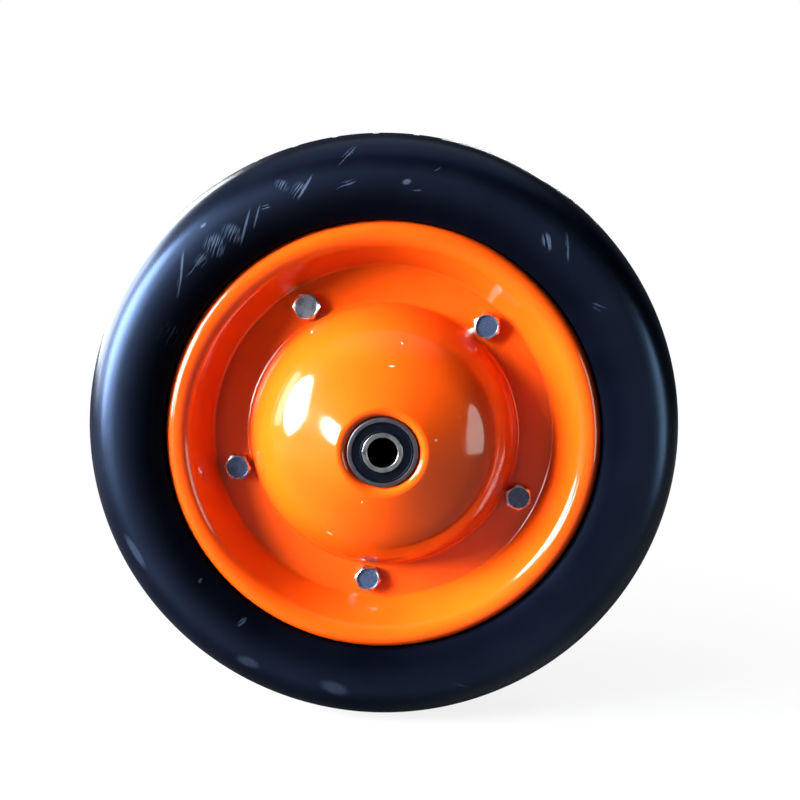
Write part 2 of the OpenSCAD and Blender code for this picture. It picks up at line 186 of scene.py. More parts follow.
for start, end in ((floor_place.outputs["Object"], floor_axes.inputs[0]),
                   (floor_axes.outputs["X"], floor_right.inputs["Value"]),
                   (floor_right.outputs["Result"], floor_tone.inputs["Factor"]),
                   (floor_tone.outputs["Result"], floor_dim.inputs["Base Color"]),
                   (floor_place.outputs["Object"], floor_far.inputs[0]),
                   (floor_far.outputs["Value"], floor_fade.inputs["Value"]),
                   (floor_fade.outputs["Result"], floor_lit.inputs["Fac"]),
                   (floor_pale.outputs[0], floor_lit.inputs[1]),
                   (floor_white.outputs[0], floor_lit.inputs[2]),
                   (floor_ray.outputs["Is Camera Ray"], floor_mix.inputs["Fac"]),
                   (floor_dim.outputs[0], floor_mix.inputs[1]),
                   (floor_lit.outputs[0], floor_mix.inputs[2]),
                   (floor_mix.outputs[0], floor_tree.nodes["Material Output"].inputs["Surface"])):
    floor_tree.links.new(start, end)
floor_data.materials.append(floor_finish)

# Rim halves. Each is one round of steel sheet, pressed to a bearing cup, a domed hub, a flat ring
# for the bolts and a wall with a rolled lip. Both are coated in thick glossy orange enamel.
mm = 0.001
sheet_t = 1.6
cup_r, stop_w, stop_h = 20.0, 2.5, 33.2
cup_bend, mouth_bend = 1.4, 4.0
mouth_top, cone_middle, dome_shoulder = (20.8, 47.36), (37.3, 41.9), (71.52, 26.86)
cone_round, dome_round = 225, 52
dome_foot, dome_bend = (79.99, 0.8), 3.5
wall_foot, wall_bend = (102.89, 0.8), 3.0
wall_top = (112.57, 20.67)
crest_centre, crest_turn, roll_centre, roll_turn = (120.3, 16.9), -64.03, (120.3, 19.7), -120
bolt_ring_r, first_bolt, bolt_count, hole_r = 89.99, 47.8, 5, 4.3


def start_line(mesh, radius, height):
    """The first point of an outline in the plane of X, at a radius and a height towards the front."""
    return bmesh.ops.create_vert(mesh, co=(radius * mm, -height * mm, 0))["vert"][0]


def line_to(mesh, end, radius, height):
    """Draws a straight run on from the outline's end."""
    drawn = bmesh.ops.extrude_vert_indiv(mesh, verts=[end])["verts"][0]
    drawn.co = (radius * mm, -height * mm, 0)
    return drawn


def arc_about(mesh, end, radius, height, turn, step=4):
    """Draws an arc on from the outline's end about a centre, by a turn in degrees."""
    swept = bmesh.ops.spin(mesh, geom=[end], cent=(radius * mm, -height * mm, 0), axis=(0, 0, 1),
                           angle=radians(-turn), steps=max(2, round(abs(turn) / step)))
    return [v for v in swept["geom_last"] if isinstance(v, bmesh.types.BMVert)][0]


def bent_line(mesh, corners, step=4):
    """Draws an outline through corners of (radius, height, bend radius) and returns its end."""
    end = start_line(mesh, *corners[0][:2])
    for before, here, after in zip(corners, corners[1:], corners[2:]):
        if here[2] <= 0:
            end = line_to(mesh, end, *here[:2])
            continue
        p, q, s = (Vector(c[:2]) for c in (before, here, after))
        way_in, way_out = (q - p).normalized(), (s - q).normalized()
        turn = atan2(way_in.x * way_out.y - way_in.y * way_out.x, way_in.dot(way_out))
        bend_start = q - way_in * here[2] * tan(abs(turn) / 2)
        left = Vector((-way_in.y, way_in.x)) * (1 if turn > 0 else -1)
        centre = bend_start + left * here[2]
        end = line_to(mesh, end, *bend_start)
        end = arc_about(mesh, end, *centre, turn * 180 / pi, step)
    return line_to(mesh, end, *corners[-1][:2])


def lathe(mesh, steps=256):
    """Spins the drawn outline once round the axle and closes the turn."""
    bmesh.ops.spin(mesh, geom=mesh.verts[:] + mesh.edges[:], cent=(0, 0, 0), axis=(0, 1, 0),
                   angle=2 * pi, steps=steps, use_merge=True)
    bmesh.ops.remove_doubles(mesh, verts=mesh.verts, dist=1e-6)
    bmesh.ops.recalc_face_normals(mesh, faces=mesh.faces)


def settle(mesh, add_modifier):
    """The mesh with a modifier applied, as a new bmesh. add_modifier takes the object that gets it."""
    data = bpy.data.meshes.new("settling")
    mesh.to_mesh(data)
    mesh.free()
    held = bpy.data.objects.new("settling", data)
    bpy.context.scene.collection.objects.link(held)
    add_modifier(held)
    seen = held.evaluated_get(bpy.context.evaluated_depsgraph_get())
    settled = bmesh.new()
    settled.from_mesh(seen.to_mesh())
    seen.to_mesh_clear()
    bpy.data.objects.remove(held)
    bpy.data.meshes.remove(data)
    return settled


def thicken(mesh, thickness):
    """Gives a sheet its thickness, half to each side."""
    def add(held):
        shell = held.modifiers.new("thickness", "SOLIDIFY")
        shell.thickness, shell.offset, shell.use_even_offset = thickness, 0, True
    return settle(mesh, add)


def cut_away(mesh, cutter):
    """Cuts the cutter's shape out of the mesh with an exact Boolean."""
    cutter_data = bpy.data.meshes.new("cutter")
    cutter.to_mesh(cutter_data)
    cutter.free()
    cutter_held = bpy.data.objects.new("cutter", cutter_data)
    bpy.context.scene.collection.objects.link(cutter_held)

    def add(held):
        cut = held.modifiers.new("cut", "BOOLEAN")
        cut.operation, cut.solver, cut.object = "DIFFERENCE", "EXACT", cutter_held
    result = settle(mesh, add)
    bpy.data.objects.remove(cutter_held)
    bpy.data.meshes.remove(cutter_data)
    return result


def finish_piece(name, mesh, finish, body, stands_for, crease=35):
    """Makes the piece's object, shades it smooth up to its creases and hands it to the frame."""
    data = bpy.data.meshes.new(name)
    mesh.to_mesh(data)
    mesh.free()
    data.polygons.foreach_set("use_smooth", [True] * len(data.polygons))
    data.set_sharp_from_angle(angle=radians(crease))
    data.materials.append(finish)
    piece = bpy.data.objects.new(name, data)
    bpy.context.scene.collection.objects.link(piece)
    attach(piece, body)
    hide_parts(*stands_for)
    return piece


def new_group(name, inputs, output):
    """A shader node group with these inputs and one output, its coordinates and its two end nodes."""
    group = bpy.data.node_groups.new(name, "ShaderNodeTree")
    for label, value in inputs.items():
        kind = "NodeSocketVector" if isinstance(value, tuple) else "NodeSocketFloat"
        group.interface.new_socket(name=label, in_out="INPUT", socket_type=kind).default_value = value
    group.interface.new_socket(name=output, in_out="OUTPUT", socket_type="NodeSocketFloat")
    ends = group.nodes.new("NodeGroupInput"), group.nodes.new("NodeGroupOutput")
    return group, add_node(group, "TexCoord"), *ends


def place_group(tree, group, **values):
    """Places a node group in a material with its own values and returns its output."""
    placed = set_inputs(add_node(tree, "Group", node_tree=group), **values)
    return placed.outputs[0]


# soft uneven patches between two values, as in paint, plate and rubber
mottle, place, given, result = new_group(
    "mottle", {"Size": 0.02, "Low": 0.0, "High": 1.0, "Softness": 0.3}, "Value")
per_metre = add_node(mottle, "Math", operation="DIVIDE")
per_metre.inputs[0].default_value = 1
noise = set_inputs(add_node(mottle, "TexNoise"), Detail=4)
low, high = add_node(mottle, "Math", operation="SUBTRACT"), add_node(mottle, "Math", operation="ADD")
low.inputs[0].default_value = high.inputs[0].default_value = 0.5
spread = add_node(mottle, "MapRange", interpolation_type="SMOOTHSTEP")
for start, end in ((given.outputs["Size"], per_metre.inputs[1]),
                   (place.outputs["Object"], noise.inputs["Vector"]),
                   (per_metre.outputs[0], noise.inputs["Scale"]),
                   (given.outputs["Softness"], low.inputs[1]), (given.outputs["Softness"], high.inputs[1]),
                   (noise.outputs["Fac"], spread.inputs["Value"]),
                   (low.outputs[0], spread.inputs["From Min"]), (high.outputs[0], spread.inputs["From Max"]),
                   (given.outputs["Low"], spread.inputs["To Min"]),
                   (given.outputs["High"], spread.inputs["To Max"]),
                   (spread.outputs["Result"], result.inputs["Value"])):
    mottle.links.new(start, end)

# a patch of fine parallel streaks, limited to an oval on the front of the wheel; it makes the tyre's rub
# marks and the painted highlights on the enamel
streak_patch, place, given, result = new_group(
    "rub_marks_and_painted_glints", {"Centre": (0, 0, 0), "Turn": 0.0, "Length": 0.01, "Width": 0.005, "Lines": 900.0,
                  "Cover": 0.5}, "Mask")
streaks_per_metre, streak_edge = 60, 0.07
move = add_node(streak_patch, "VectorMath", operation="SUBTRACT")
spun = add_node(streak_patch, "VectorRotate", rotation_type="AXIS_ANGLE")
spun.inputs["Axis"].default_value = (0, 1, 0)
axes, oval_axes = add_node(streak_patch, "SeparateXYZ"), add_node(streak_patch, "CombineXYZ")
by_length, by_width = (add_node(streak_patch, "Math", operation="DIVIDE") for _ in range(2))
far = add_node(streak_patch, "VectorMath", operation="LENGTH")
oval = set_inputs(add_node(streak_patch, "MapRange", interpolation_type="SMOOTHSTEP"), From_Min=1.0, From_Max=0.4)
line_axes = add_node(streak_patch, "CombineXYZ")
along = add_node(streak_patch, "Math", operation="MULTIPLY")
along.inputs[1].default_value = streaks_per_metre
across = add_node(streak_patch, "Math", operation="MULTIPLY")
lines = set_inputs(add_node(streak_patch, "TexNoise"), Scale=1, Detail=2)
cover = add_node(streak_patch, "Math", operation="SUBTRACT")
cover.inputs[0].default_value = 1
streak_mask = set_inputs(add_node(streak_patch, "MapRange", interpolation_type="SMOOTHSTEP"))
soft_end = add_node(streak_patch, "Math", operation="ADD")
soft_end.inputs[1].default_value = streak_edge
front = set_inputs(add_node(streak_patch, "MapRange"), From_Min=0.0, From_Max=-0.001)
inside, mask = (add_node(streak_patch, "Math", operation="MULTIPLY") for _ in range(2))
for start, end in ((place.outputs["Object"], move.inputs[0]), (given.outputs["Centre"], move.inputs[1]),
                   (move.outputs[0], spun.inputs["Vector"]), (given.outputs["Turn"], spun.inputs["Angle"]),
                   (spun.outputs[0], axes.inputs[0]),
                   (axes.outputs["X"], by_length.inputs[0]), (given.outputs["Length"], by_length.inputs[1]),
                   (axes.outputs["Z"], by_width.inputs[0]), (given.outputs["Width"], by_width.inputs[1]),
                   (by_length.outputs[0], oval_axes.inputs["X"]),
                   (by_width.outputs[0], oval_axes.inputs["Y"]),
                   (oval_axes.outputs[0], far.inputs[0]), (far.outputs["Value"], oval.inputs["Value"]),
                   (axes.outputs["X"], along.inputs[0]), (axes.outputs["Z"], across.inputs[0]),
                   (given.outputs["Lines"], across.inputs[1]),
                   (along.outputs[0], line_axes.inputs["X"]), (across.outputs[0], line_axes.inputs["Y"]),
                   (line_axes.outputs[0], lines.inputs["Vector"]),
                   (given.outputs["Cover"], cover.inputs[1]), (lines.outputs["Fac"], streak_mask.inputs["Value"]),
                   (cover.outputs[0], streak_mask.inputs["From Min"]), (cover.outputs[0], soft_end.inputs[0]),
                   (soft_end.outputs[0], streak_mask.inputs["From Max"]),
                   (axes.outputs["Y"], front.inputs["Value"]),
                   (oval.outputs["Result"], inside.inputs[0]), (streak_mask.outputs["Result"], inside.inputs[1]),
                   (inside.outputs[0], mask.inputs[0]), (front.outputs["Result"], mask.inputs[1]),
                   (mask.outputs[0], result.inputs["Mask"])):
    streak_patch.links.new(start, end)


def all_marks(tree, places):
    """Adds up streak patches, the tyre's rub marks and the enamel's painted highlights, at places of
    (x, z, turn, half length, half width, lines per metre, cover, strength), in millimetres and degrees."""
    total = None
    for x, z, turn, length, width, line_count, covered, strength in places:
        patch = place_group(tree, streak_patch, Centre=(x * mm, 0, z * mm), Turn=radians(turn), Length=length * mm,
                            Width=width * mm, Lines=line_count, Cover=covered)
        scaled = add_node(tree, "Math", operation="MULTIPLY_ADD")
        scaled.inputs[1].default_value = strength
        scaled.inputs[2].default_value = 0
        tree.links.new(patch, scaled.inputs[0])
        if total is not None:
            tree.links.new(total, scaled.inputs[2])
        total = scaled.outputs[0]
    return total


orange = bpy.data.materials.new("orange_enamel")
orange.use_nodes = True
paint = orange.node_tree
skin = set_inputs(paint.nodes["Principled BSDF"], Roughness=0.32, Coat_Weight=1.0, Coat_Roughness=0.085,
                  Coat_IOR=1.5, Specular_IOR_Level=0.05)
shade = set_inputs(add_node(paint, "Mix", data_type="RGBA"),
                   A=(0.76, 0.070, 0.0026, 1), B=(0.83, 0.082, 0.0036, 1))
# painted highlights: cream spots that stand in for glints in the enamel, one beside a bolt at the dome's foot
# and five small ones on the dome
painted_glints = ((51.0, 63.2, 33, 4.8, 1.9, 260, 0.75, 1.0), (29.8, 7.0, 0, 1.2, 1.1, 300, 0.9, 0.45),
               (5.2, 47.5, 0, 2.2, 0.7, 300, 0.9, 0.35), (10.8, 59.5, -40, 1.1, 0.6, 300, 0.9, 0.35),
               (-11.6, -28.9, 60, 0.9, 0.7, 300, 0.9, 0.35), (-30.9, -51.7, -30, 2.6, 0.6, 300, 0.7, 0.3))
painted_glint_colour = set_inputs(add_node(paint, "Mix", data_type="RGBA"), B=(0.95, 0.80, 0.68, 1))
seen_shade = set_inputs(add_node(paint, "Mix", data_type="RGBA"), B=(0.55, 0.043, 0.0014, 1))
bounce = add_node(paint, "LightPath")
place = add_node(paint, "TexCoord")
peel = set_inputs(add_node(paint, "TexNoise"), Scale=260, Detail=1)
nib = set_inputs(add_node(paint, "TexVoronoi"), Scale=80)
nib_tip = set_inputs(add_node(paint, "MapRange"), From_Min=0.07, From_Max=0.0)
peel_bump = set_inputs(add_node(paint, "Bump"), Strength=0.3, Distance=0.00003)
nib_bump = set_inputs(add_node(paint, "Bump"), Strength=0.4, Distance=0.0002)
for start, end in ((place_group(paint, mottle, Size=0.03), shade.inputs["Factor"]),
                   (shade.outputs["Result"], seen_shade.inputs["A"]),
                   (bounce.outputs["Is Diffuse Ray"], seen_shade.inputs["Factor"]),
                   (seen_shade.outputs["Result"], painted_glint_colour.inputs["A"]),
                   (all_marks(paint, painted_glints), painted_glint_colour.inputs["Factor"]),
                   (painted_glint_colour.outputs["Result"], skin.inputs["Base Color"]),
                   (place.outputs["Object"], peel.inputs["Vector"]),
                   (place.outputs["Object"], nib.inputs["Vector"]),
                   (nib.outputs["Distance"], nib_tip.inputs["Value"]),
                   (peel.outputs["Fac"], peel_bump.inputs["Height"]),
                   (nib_tip.outputs["Result"], nib_bump.inputs["Height"]),
                   (peel_bump.outputs["Normal"], nib_bump.inputs["Normal"]),
                   (nib_bump.outputs["Normal"], skin.inputs["Normal"]),
                   (nib_bump.outputs["Normal"], skin.inputs["Coat Normal"])):
    paint.links.new(start, end)

bolt_step = 360 / bolt_count
bolt_places = [(bolt_ring_r * mm * cos(radians(first_bolt + bolt_step * i)),
                bolt_ring_r * mm * sin(radians(first_bolt + bolt_step * i))) for i in range(bolt_count)]
lies_on_axle = Matrix.Rotation(pi / 2, 4, "X")
drill_length = 0.01
for name in ("rim_front", "rim_back"):
    sheet = bmesh.new()
    end = bent_line(sheet, [
        (cup_r - stop_w, stop_h, 0), (cup_r + sheet_t / 2, stop_h, cup_bend), (*mouth_top, mouth_bend),
        (*cone_middle, cone_round), (*dome_shoulder, dome_round), (*dome_foot, dome_bend),
        (*wall_foot, wall_bend), (*wall_top, 0)], step=3)
    end = arc_about(sheet, end, *crest_centre, crest_turn, step=4)
    arc_about(sheet, end, *roll_centre, roll_turn, step=6)
    lathe(sheet)
    if name == "rim_back":
        bmesh.ops.scale(sheet, vec=(1, -1, 1), verts=sheet.verts)
        bmesh.ops.recalc_face_normals(sheet, faces=sheet.faces)
    sheet = thicken(sheet, sheet_t * mm)
    drill = bmesh.new()
    for x, z in bolt_places:
        bmesh.ops.create_cone(drill, cap_ends=True, segments=48, radius1=hole_r * mm, radius2=hole_r * mm,
                              depth=drill_length, matrix=Matrix.Translation((x, 0, z)) @ lies_on_axle)
    sheet = cut_away(sheet, drill)
    finish_piece(name + "_enamelled", sheet, orange, "wheel", [name])

# Tyre. Solid black rubber, moulded in one piece and clamped between the rim halves, with three
# grooves round the tread and skewed cross slots between them. Its front is scuffed from handling.
bead_line = ((106.49, 0), (106.49, 6.43), (110.04, 14.4), (127.2, 14.4), (127.2, 25.85))
outer_groove = ((173.5, 12.35), (171.0, 12.2), (170.55, 11.8), (170.55, 10.2), (171.0, 9.8),
                (173.9, 9.65), (174.25, 9.4))
middle_groove = ((174.6, 1.45), (172.0, 1.3), (171.5, 0.9), (171.5, 0.0))
# arcs of (centre's radius, centre's height, turn, step), the last two in degrees
bead_edge, side_wall, shoulder = (129.2, 25.85, -55.3, 8), (152.08, -7.2, -34.7, 2), (152.08, 15, -67.98, 3)
outer_tread, inner_tread = (115, 0, -9.4, 2), (115, 0, -7.1, 2)
slot_w, slot_depth, slot_l, slot_skew, slot_count = 3.0, 2.6, 11.0, 22, 48
slot_r, slot_shift = 174.75, 0.25
tyre_mesh = bmesh.new()
end = start_line(tyre_mesh, *bead_line[0])
for corner in bead_line[1:]:
    end = line_to(tyre_mesh, end, *corner)
for arc in (bead_edge, side_wall, shoulder, outer_tread):
    end = arc_about(tyre_mesh, end, *arc)
for corner in outer_groove:
    end = line_to(tyre_mesh, end, *corner)
end = arc_about(tyre_mesh, end, *inner_tread)
for corner in middle_groove:
    end = line_to(tyre_mesh, end, *corner)
lathe(tyre_mesh, 240)
bmesh.ops.mirror(tyre_mesh, geom=tyre_mesh.verts[:] + tyre_mesh.edges[:] + tyre_mesh.faces[:],
                 axis="Y", merge_dist=1e-6)
bmesh.ops.recalc_face_normals(tyre_mesh, faces=tyre_mesh.faces)
slots = bmesh.new()
for side in (-1, 1):
    for i in range(slot_count):
        bmesh.ops.create_cube(slots, size=1, matrix=(
            lies_on_axle @ Matrix.Rotation((i + side * slot_shift) * 2 * pi / slot_count, 4, "Z")
            @ Matrix.Translation((slot_r * mm, 0, side * slot_l / 2 * mm))
            @ Matrix.Rotation(radians(side * slot_skew), 4, "X")
            @ Matrix.Diagonal((2 * slot_depth * mm, slot_w * mm, slot_l * mm, 1))))
tyre_mesh = cut_away(tyre_mesh, slots)

# distance from the axle
axle_distance, place, given, result = new_group("axle_distance", {}, "Distance")
flat = add_node(axle_distance, "VectorMath", operation="MULTIPLY")
flat.inputs[1].default_value = (1, 0, 1)
out = add_node(axle_distance, "VectorMath", operation="LENGTH")
for start, end in ((place.outputs["Object"], flat.inputs[0]), (flat.outputs[0], out.inputs[0]),
                   (out.outputs["Value"], result.inputs["Distance"])):
    axle_distance.links.new(start, end)

rubber = bpy.data.materials.new("tyre_rubber")
rubber.use_nodes = True
tree = rubber.node_tree
skin = set_inputs(tree.nodes["Principled BSDF"], Specular_Tint=(0.33, 0.52, 1.0, 1))
rub_places = (
    (-54, 144.5, 65, 3.5, 5, 1700, 0.5, 0.4), (-45.5, 142, 55, 6, 4, 1500, 0.5, 0.5),
    (-41.5, 143.5, 58, 9, 0.9, 900, 0.66, 0.5), (-19.6, 145, 20, 7, 2, 1200, 0.5, 0.3),
    (-19, 160, 48, 9, 2, 1200, 0.5, 0.22), (-74.5, 122.6, 72, 12, 0.8, 900, 0.72, 0.5),
    (-68, 128.3, 72, 8, 0.7, 900, 0.66, 0.4), (-63, 132.9, 20, 3, 2, 1500, 0.5, 0.4),
    (-81.7, 119.5, 66, 6, 7, 1300, 0.52, 0.42), (-91.2, 113, 70, 8, 7, 1300, 0.52, 0.5),
    (-99, 105, 50, 5, 4, 1400, 0.5, 0.35), (-97.2, 123.5, 40, 2.5, 1, 900, 0.7, 0.3),
    (-109.7, 101.5, 82, 11, 0.8, 900, 0.66, 0.45), (-102, 103, 52, 11, 1.6, 1100, 0.5, 0.35),
    (-112, 91, 78, 8, 1.2, 1000, 0.55, 0.3), (-119, 64, 60, 12, 8, 800, 0.45, 0.12),
    (12.9, 146.3, 10, 3, 1.8, 900, 0.7, 0.35), (18.5, 142, 0, 3, 0.8, 900, 0.6, 0.2),
    (29.2, 152.9, 30, 3, 0.9, 900, 0.5, 0.15), (89.1, 115, 108, 6, 3.2, 500, 0.56, 0.35),
    (100, 112.5, 96, 10, 1.1, 700, 0.6, 0.22), (119, 80, 160, 5, 3, 900, 0.5, 0.12),
    (-144.6, -62.5, -62, 14, 3, 500, 0.75, 0.12), (-108, -81.1, 60, 2, 1.2, 900, 0.8, 0.2),
    (-84, -107, 40, 4, 2, 900, 0.6, 0.2), (-80.7, -131.4, -25, 9, 4, 500, 0.7, 0.1),
    (-29.3, -148, -20, 11, 5, 500, 0.7, 0.1), (60, -150, -15, 22, 5, 700, 0.45, 0.1))
most_scuffed, scuff_dulls = 1.0, 0.3
clean = set_inputs(add_node(tree, "Mix", data_type="RGBA"),
                   A=(0.0006, 0.0009, 0.0025, 1), B=(0.0014, 0.0018, 0.0042, 1))
scuffed = set_inputs(add_node(tree, "Mix", data_type="RGBA"), B=(0.10, 0.135, 0.21, 1))
scuff_amount = add_node(tree, "Math", operation="MINIMUM")
scuff_amount.inputs[1].default_value = most_scuffed
gloss = add_node(tree, "Math", operation="MULTIPLY_ADD")
gloss.inputs[1].default_value = scuff_dulls
handled = add_node(tree, "Math", operation="ADD")
dull_side = set_inputs(add_node(tree, "MapRange", interpolation_type="SMOOTHSTEP"),
                       From_Min=0.150, From_Max=0.162, To_Min=0.22, To_Max=0.0)
sheen = set_inputs(add_node(tree, "MapRange", interpolation_type="SMOOTHSTEP"),
                   From_Min=0.132, From_Max=0.160, To_Min=0.04, To_Max=0.7)
place = add_node(tree, "TexCoord")
grain = set_inputs(add_node(tree, "TexNoise"), Scale=1800, Detail=2)
grain_bump = set_inputs(add_node(tree, "Bump"), Strength=0.25, Distance=0.00005)
for start, end in ((place_group(tree, mottle, Size=0.035, Softness=0.25), clean.inputs["Factor"]),
                   (clean.outputs["Result"], scuffed.inputs["A"]),
                   (all_marks(tree, rub_places), scuff_amount.inputs[0]),
                   (scuff_amount.outputs[0], scuffed.inputs["Factor"]),
                   (scuffed.outputs["Result"], skin.inputs["Base Color"]),
                   (scuff_amount.outputs[0], gloss.inputs[0]),
                   (place_group(tree, axle_distance), dull_side.inputs["Value"]),
                   (place_group(tree, axle_distance), sheen.inputs["Value"]),
                   (sheen.outputs["Result"], skin.inputs["Specular IOR Level"]),
                   (dull_side.outputs["Result"], handled.inputs[0]),
                   (place_group(tree, mottle, Size=0.05, Low=0.22, High=0.30), handled.inputs[1]),
                   (handled.outputs[0], gloss.inputs[2]),
                   (gloss.outputs[0], skin.inputs["Roughness"]),
                   (place.outputs["Object"], grain.inputs["Vector"]),
                   (grain.outputs["Fac"], grain_bump.inputs["Height"]),
                   (grain_bump.outputs["Normal"], skin.inputs["Normal"])):
    tree.links.new(start, end)
finish_piece("tyre_moulded", tyre_mesh, rubber, "wheel", ["tyre"])


# Bolts. Five zinc-plated hexagon bolts, forged with a dish in the head and a rolled thread. They
# clamp the two rim halves together from the front.
def plain_finish(name, colour_low, colour_high, size, rough_low, rough_high, metallic, grain_size,
                 grain_depth, **more):
    """A finish that varies softly between two colours and two roughnesses, over a fine grain."""
    made = bpy.data.materials.new(name)
    made.use_nodes = True
    own = made.node_tree
    surface = set_inputs(own.nodes["Principled BSDF"], Metallic=metallic, **more)
    tone = set_inputs(add_node(own, "Mix", data_type="RGBA"), A=(*colour_low, 1), B=(*colour_high, 1))
    at = add_node(own, "TexCoord")
    fine = set_inputs(add_node(own, "TexNoise"), Scale=1 / grain_size, Detail=3)
    bump = set_inputs(add_node(own, "Bump"), Strength=0.5, Distance=grain_depth)
    for start, end in ((place_group(own, mottle, Size=size), tone.inputs["Factor"]),
                       (tone.outputs["Result"], surface.inputs["Base Color"]),
                       (place_group(own, mottle, Size=size / 2, Low=rough_low, High=rough_high),
                        surface.inputs["Roughness"]),
                       (at.outputs["Object"], fine.inputs["Vector"]),
                       (fine.outputs["Fac"], bump.inputs["Height"]),
                       (bump.outputs["Normal"], surface.inputs["Normal"])):
        own.links.new(start, end)
    return made


def add_mesh(whole, part):
    """Adds one bmesh to another and frees it."""
    carried = bpy.data.meshes.new("carried")
    part.to_mesh(carried)
    part.free()
    whole.from_mesh(carried)
    bpy.data.meshes.remove(carried)


def soften_edges(piece, width):
    """Breaks a piece's sharp edges with a narrow bevel."""
    edge = piece.modifiers.new("broken_edges", "BEVEL")
    edge.width, edge.segments, edge.limit_method = width, 2, "ANGLE"
    edge.angle_limit = radians(28)
    edge.harden_normals = True


zinc = plain_finish("zinc_plate", (0.50, 0.54, 0.62), (0.68, 0.72, 0.80), size=0.008, rough_low=0.2,
                    rough_high=0.36, metallic=1.0, grain_size=0.0006, grain_depth=0.00001)
plated = zinc.node_tree
plate = plated.nodes["Principled BSDF"]
# the dishes' dark tone, and the painted light on the upper left one, come in through the dish attribute
dull = set_inputs(add_node(plated, "Mix", data_type="RGBA"), B=(0.10, 0.15, 0.28, 1))
in_dish = add_node(plated, "Attribute", attribute_name="dish")
plated.links.new(plate.inputs["Base Color"].links[0].from_socket, dull.inputs["A"])
plated.links.new(in_dish.outputs["Fac"], dull.inputs["Factor"])
plated.links.new(dull.outputs["Result"], plate.inputs["Base Color"])
metal_lost, all_metal = -0.35, 1
less_metal = add_node(plated, "Math", operation="MULTIPLY_ADD")
less_metal.inputs[1].default_value, less_metal.inputs[2].default_value = metal_lost, all_metal
plated.links.new(in_dish.outputs["Fac"], less_metal.inputs[0])
plated.links.new(less_metal.outputs[0], plate.inputs["Metallic"])
head_flats, head_h, head_turns = 14.4, 5.3, (32, 0, -4, -8, 34)
dish_foot_r, dish_rim_r, dish_depth, ring_face = 6.1, 6.55, 0.8, 1.6
dish_flare, flat_w, cone_flare = 0.4, 0.2, 0.75
corner_cut_r, corner_cut_h, cutter_r = 8.6, 1.2, 12
head_top = ring_face + head_h
above = head_top + 1
heads, shaping = bmesh.new(), bmesh.new()
for (x, z), turn in zip(bolt_places, head_turns):
    corner_r = head_flats / 2 / cos(pi / 6) * mm
    upright = lies_on_axle @ Matrix.Rotation(pi / 2, 4, "Z")
    bmesh.ops.create_cone(heads, cap_ends=True, segments=6, radius1=corner_r, radius2=corner_r,
                          depth=head_h * mm,
                          matrix=Matrix.Translation((x, -(ring_face + head_h / 2) * mm, z))
                          @ Matrix.Rotation(radians(-turn), 4, "Y") @ upright)
dish = ((0, above), (0, head_top - dish_depth), (dish_foot_r, head_top - dish_depth),
        (dish_rim_r, head_top), (dish_rim_r + dish_flare, above), (0, above))
corner_cone = ((cutter_r, above), (dish_rim_r + cone_flare, above), (dish_rim_r + flat_w, head_top),
               (corner_cut_r, head_top - corner_cut_h), (cutter_r, head_top - corner_cut_h),
               (cutter_r, above))
for outline in (dish, corner_cone):
    for x, z in bolt_places:
        cut = bmesh.new()
        bent_line(cut, [(*corner, 0) for corner in outline])
        lathe(cut, 64)
        bmesh.ops.translate(cut, verts=cut.verts, vec=(x, 0, z))
        add_mesh(shaping, cut)
heads = cut_away(heads, shaping)
# the dishes are dull and dark; the upper left bolt's dish is painted lighter, as painted light where the
# light falls on it
touch, upper_left, painted_lit_dish, dark_dish = 0.01, 0.03, 0.3, 1
dish_floor = heads.verts.layers.float.new("dish")
for v in heads.verts:
    if abs(v.co.y / mm + head_top - dish_depth) < touch:
        v[dish_floor] = painted_lit_dish if v.co.x < -upper_left and v.co.z > upper_left else dark_dish
head_edge = 0.00012
soften_edges(finish_piece("bolt_heads", heads, zinc, "wheel", ["bolts"], 30), head_edge)

shank_top, shank_end, thread_r, thread_pitch, thread_depth, thread_start = -1.7, 14.4, 4.0, 1.25, 0.72, 1.0
thread_steps, thread_runout, end_taper = 108, 2, 1.0
shanks = bmesh.new()
for x, z in bolt_places:
    shank = bmesh.new()
    end = start_line(shank, 0, -shank_top)
    end = line_to(shank, end, thread_r, -shank_top)
    end = line_to(shank, end, thread_r, -thread_start)
    for i in range(1, thread_steps + 1):
        end = line_to(shank, end, thread_r, -(thread_start + (shank_end - thread_start) * i / thread_steps))
    end = line_to(shank, end, 0, -shank_end)
    lathe(shank, 36)
    for v in shank.verts:
        depth = v.co.y / mm
        radius = v.co.xz.length / mm
        if depth < thread_start or radius < thread_r - touch:
            continue
        phase = (depth / thread_pitch - atan2(v.co.z, v.co.x) / (2 * pi)) % 1
        cut = thread_depth * (1 - abs(2 * phase - 1)) * min(1, (depth - thread_start) / thread_runout)
        cut = max(cut, depth - shank_end + end_taper)
        v.co.x *= (thread_r - cut) / thread_r
        v.co.z *= (thread_r - cut) / thread_r
    bmesh.ops.translate(shank, verts=shank.verts, vec=(x, 0, z))
    add_mesh(shanks, shank)
finish_piece("bolt_shanks", shanks, zinc, "wheel", ["bolts"], 40)

# Nuts and spring washers. Zinc-plated hexagon nuts, each over a split washer of square wire, both
# tightened against the back rim half.
def own_copy(*names):
    """The merged meshes of CAD nodes, with flat faces made whole again."""
    copied = bmesh.new()
    for node_name in names:
        copied.from_mesh(nodes[node_name].data)
    bmesh.ops.remove_doubles(copied, verts=copied.verts, dist=1e-6)
    bmesh.ops.dissolve_limit(copied, angle_limit=radians(0.3), verts=copied.verts, edges=copied.edges)
    return copied


nut_edge, washer_edge = 0.00015, 0.0002
soften_edges(finish_piece("hexagon_nuts", own_copy("nuts"), zinc, "wheel", ["nuts"], 30),
             nut_edge)
soften_edges(finish_piece("spring_washers", own_copy("lock_washers"), zinc, "wheel",
                          ["lock_washers"], 30), washer_edge)

